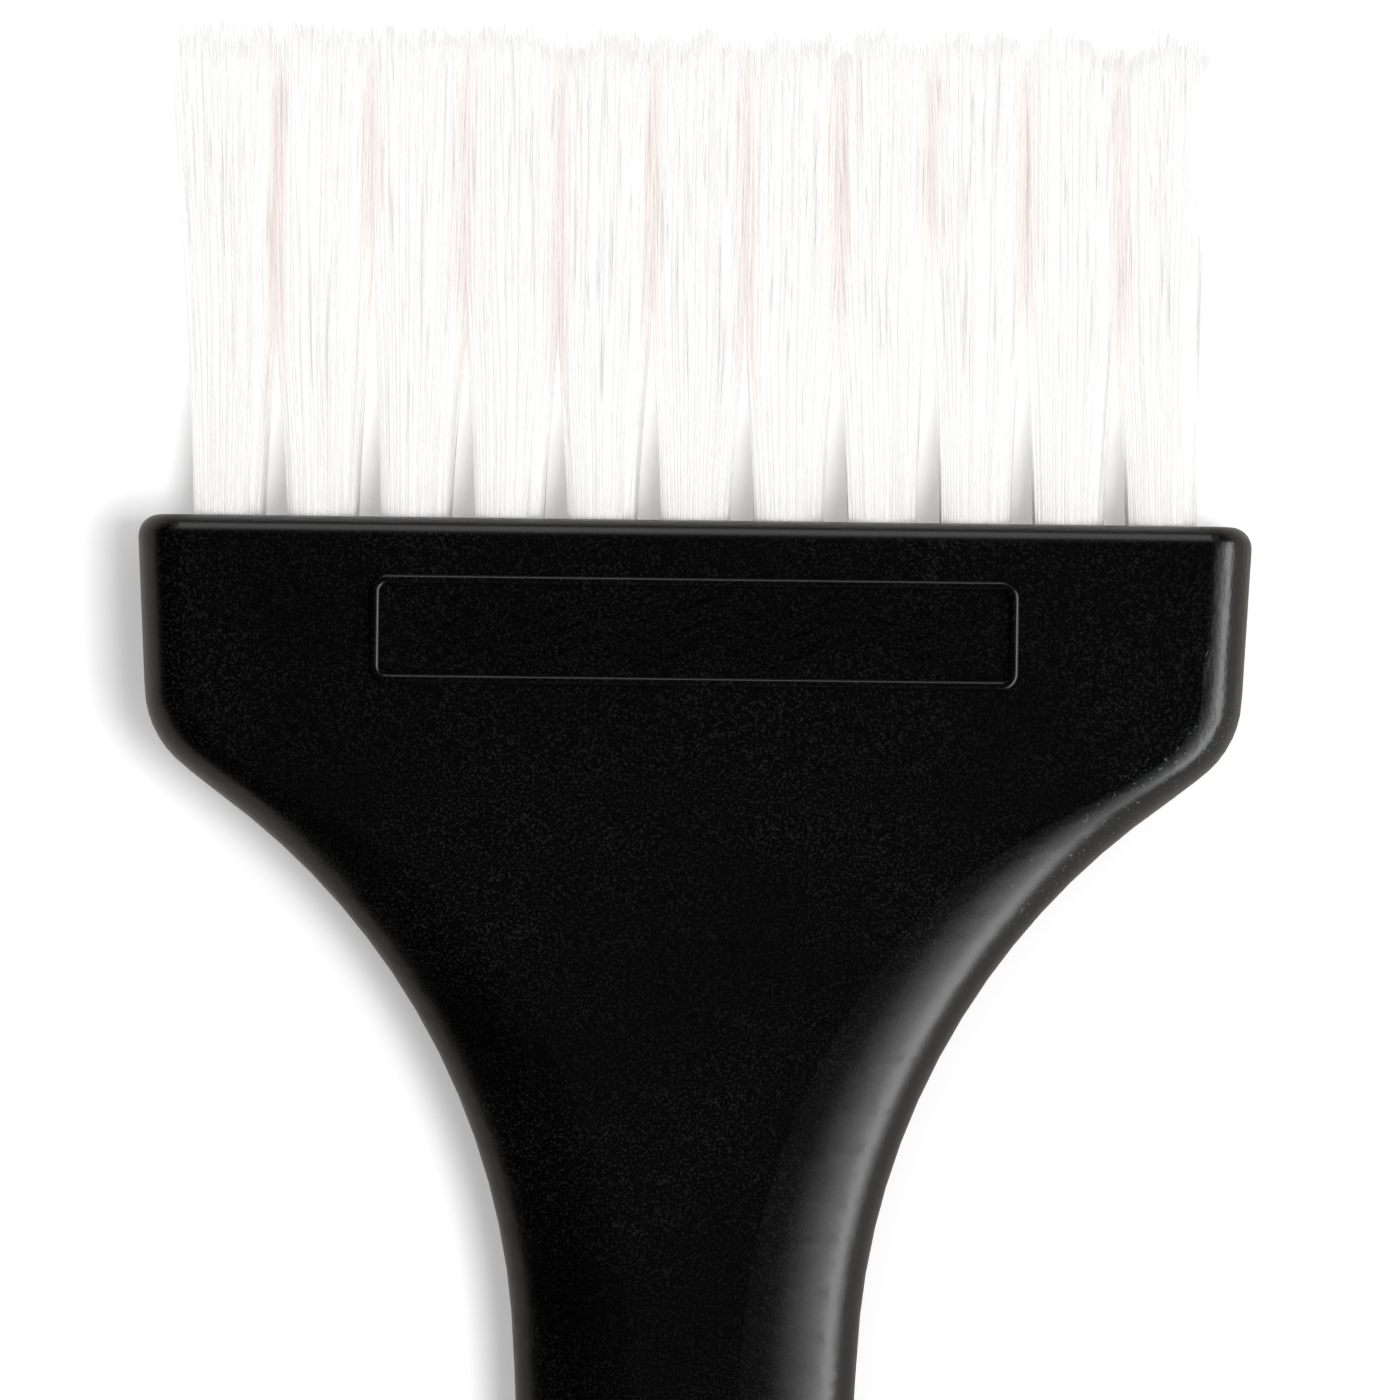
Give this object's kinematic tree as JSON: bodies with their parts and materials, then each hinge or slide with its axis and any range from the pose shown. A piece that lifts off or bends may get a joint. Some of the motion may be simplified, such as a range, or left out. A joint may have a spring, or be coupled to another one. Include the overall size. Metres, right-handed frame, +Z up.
{
  "type": "hair tint brush",
  "caption": "Flat tint brush for hair colour: a wide moulded head with two rows of stapled nylon tufts, a flared neck and a slim tapering tail handle.",
  "frame": {"origin": "below the middle of the whole brush, on the surface that it lies on", "axes": "+Y along the brush from the tail to the bristle tips, +X across the head, +Z up through the thickness, with the brush lying on its back"},
  "size_m": [0.0572, 0.2146, 0.0112],
  "materials": {
    "handle": "satin black moulded plastic with a fine grain",
    "bristle": "soft white nylon filament, slightly translucent",
    "staple": "flat drawn wire, nickel silver"
  },
  "bodies": {
    "root": {"handle": "handle", "tuft_front_01": "bristle", "tuft_front_02": "bristle", "tuft_front_03": "bristle", "tuft_front_04": "bristle", "tuft_front_05": "bristle", "tuft_front_06": "bristle", "tuft_front_07": "bristle", "tuft_front_08": "bristle", "tuft_front_09": "bristle", "tuft_front_10": "bristle", "tuft_front_11": "bristle", "tuft_back_01": "bristle", "tuft_back_02": "bristle", "tuft_back_03": "bristle", "tuft_back_04": "bristle", "tuft_back_05": "bristle", "tuft_back_06": "bristle", "tuft_back_07": "bristle", "tuft_back_08": "bristle", "tuft_back_09": "bristle", "tuft_back_10": "bristle", "tuft_back_11": "bristle", "staples_front": "staple", "staples_back": "staple"}
  },
  "joints": []
}
